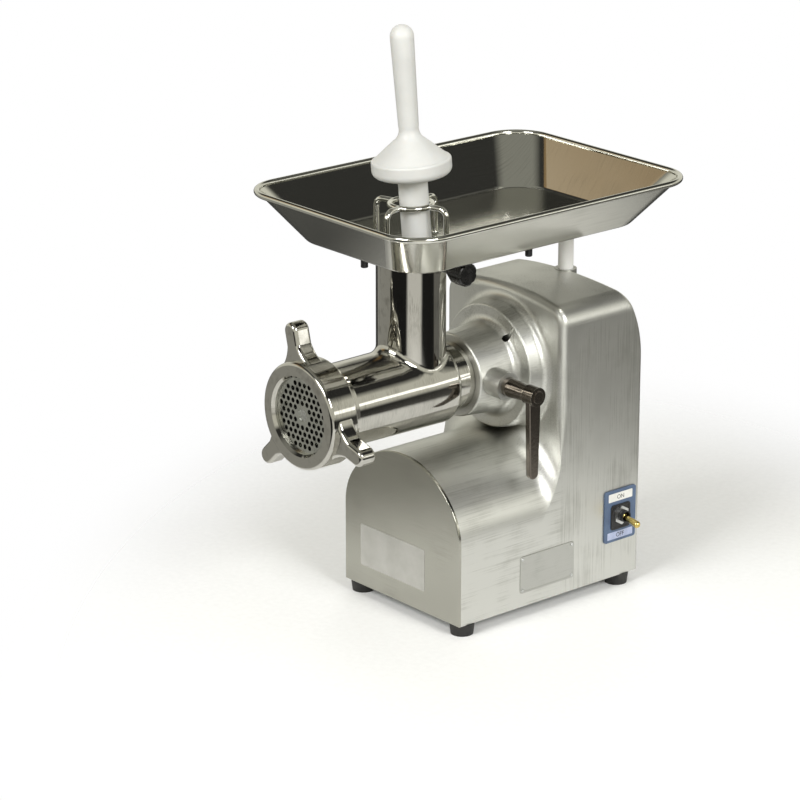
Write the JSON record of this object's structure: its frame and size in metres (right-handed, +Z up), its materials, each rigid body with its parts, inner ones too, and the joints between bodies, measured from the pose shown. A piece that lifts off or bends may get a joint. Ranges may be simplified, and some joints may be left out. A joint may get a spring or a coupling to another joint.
{
  "type": "electric meat grinder",
  "caption": "Bench-top electric meat grinder: cast body with motor and gears, removable grinding head with auger, knife, plate and ring nut, feed pan with wire guard, and a hand pusher.",
  "frame": {"origin": "middle of the overall box on the worktop, under the feet", "axes": "-Y out of the grinding head's mouth, +X to the side of the switch and clamp lever, +Z up"},
  "size_m": [0.258, 0.395, 0.5845],
  "materials": {
    "cast_aluminium": "satin cast and buffed",
    "polished_cover": "semi-polished sheet",
    "polished_stainless": "mirror polished stainless",
    "tool_steel": "ground",
    "sheet_steel": "plain sheet",
    "zinc_steel": "zinc plated",
    "dark_steel": "blackened steel",
    "white_plastic": "smooth off-white",
    "black_plastic": "moulded",
    "black_rubber": "matte",
    "blue_grey_paint": "satin",
    "toggle_brass": "plated",
    "gear_steel": "hobbed",
    "bearing_steel": "ground",
    "lamination_steel": "stacked sheet",
    "winding_copper": "varnished",
    "bronze": "turned",
    "seal_rubber": "moulded",
    "grey_plastic": "moulded"
  },
  "bodies": {
    "base": {"main_housing": "cast_aluminium", "front_cover": "polished_cover", "front_cover_nuts": "zinc_steel", "base_plate": "sheet_steel", "base_plate_screws": "zinc_steel", "foot_front_left": "black_rubber", "foot_front_right": "black_rubber", "foot_rear_left": "black_rubber", "foot_rear_right": "black_rubber", "foot_screws": "zinc_steel", "rear_cover": "polished_cover", "rear_cover_screws": "zinc_steel", "cord_gland": "black_plastic", "gear_plate_front": "cast_aluminium", "gear_plate_rear": "cast_aluminium", "gear_plate_pillars": "zinc_steel", "motor_stator": "lamination_steel", "motor_windings": "winding_copper", "motor_front_bell": "cast_aluminium", "motor_rear_bell": "cast_aluminium", "motor_bearings": "bearing_steel", "layshaft_bearings": "bearing_steel", "output_front_bearing": "bearing_steel", "output_rear_bearing": "bearing_steel", "oil_seal": "seal_rubber", "run_capacitor": "grey_plastic", "switch_plate": "blue_grey_paint", "switch_body": "black_plastic", "switch_nut": "zinc_steel", "pan_support_post": "white_plastic"},
    "motor": {"motor_shaft": "gear_steel", "motor_rotor": "lamination_steel", "motor_pinion": "gear_steel", "cooling_fan": "grey_plastic"},
    "layshaft": {"layshaft": "gear_steel", "layshaft_gear": "gear_steel", "layshaft_pinion": "gear_steel"},
    "output": {"output_shaft": "gear_steel", "output_gear": "gear_steel"},
    "toggle": {"toggle_lever": "toggle_brass"},
    "clamp": {"clamp_screw": "dark_steel", "clamp_lever": "dark_steel"},
    "head": {"grinder_head": "polished_stainless", "auger_bush": "bronze", "plate_key_pin": "tool_steel", "grinding_plate": "tool_steel"},
    "auger": {"auger": "tool_steel", "thrust_washer": "white_plastic", "knife": "tool_steel"},
    "ring": {"ring_nut": "polished_stainless"},
    "pan": {"feed_pan": "polished_stainless", "pan_spigot": "polished_stainless", "throat_guard": "polished_stainless", "pan_feet": "black_plastic"},
    "pan_knob": {"pan_clamp_screw": "zinc_steel", "pan_clamp_knob": "black_plastic"},
    "pusher": {"pusher": "white_plastic"}
  },
  "joints": [
    {"name": "motor_spin", "type": "hinge", "parent": "base", "child": "motor", "pos_m": [0, 0, 0.093], "axis": [0, 1, 0], "continuous": true},
    {"name": "layshaft_spin", "type": "hinge", "parent": "base", "child": "layshaft", "pos_m": [0, 0, 0.157], "axis": [0, 1, 0], "continuous": true},
    {"name": "output_spin", "type": "hinge", "parent": "base", "child": "output", "pos_m": [0, 0, 0.232], "axis": [0, 1, 0], "continuous": true},
    {"name": "toggle_throw", "type": "hinge", "parent": "base", "child": "toggle", "pos_m": [0.0915, 0.1405, 0.077], "axis": [0, -1, 0], "range_deg": [0, 24]},
    {"name": "clamp_turn", "type": "hinge", "parent": "base", "child": "clamp", "pos_m": [0.09, 0.0115, 0.232], "axis": [1, 0, 0], "range_deg": [0, 120]},
    {"name": "head_slide", "type": "slide", "parent": "base", "child": "head", "axis": [0, -1, 0], "range_m": [0, 0.12]},
    {"name": "auger_spin", "type": "hinge", "parent": "head", "child": "auger", "pos_m": [0, 0, 0.232], "axis": [0, 1, 0], "continuous": true},
    {"name": "ring_turn", "type": "hinge", "parent": "head", "child": "ring", "pos_m": [0, -0.1815, 0.232], "axis": [0, -1, 0], "continuous": true},
    {"name": "pan_lift", "type": "slide", "parent": "head", "child": "pan", "axis": [0, 0, 1], "range_m": [0, 0.12]},
    {"name": "pan_knob_turn", "type": "hinge", "parent": "head", "child": "pan_knob", "pos_m": [0.05, -0.0582, 0.3615], "axis": [1, 0, 0], "continuous": true},
    {"name": "pusher_slide", "type": "slide", "parent": "pan", "child": "pusher", "axis": [-0.0474, -0.0559, 0.9973], "range_m": [-0.02, 0.2]}
  ],
  "couplings": [
    {"joint": "layshaft_spin", "follows": "motor_spin", "ratio": -0.3617},
    {"joint": "output_spin", "follows": "motor_spin", "ratio": 0.143},
    {"joint": "auger_spin", "follows": "motor_spin", "ratio": 0.143}
  ]
}
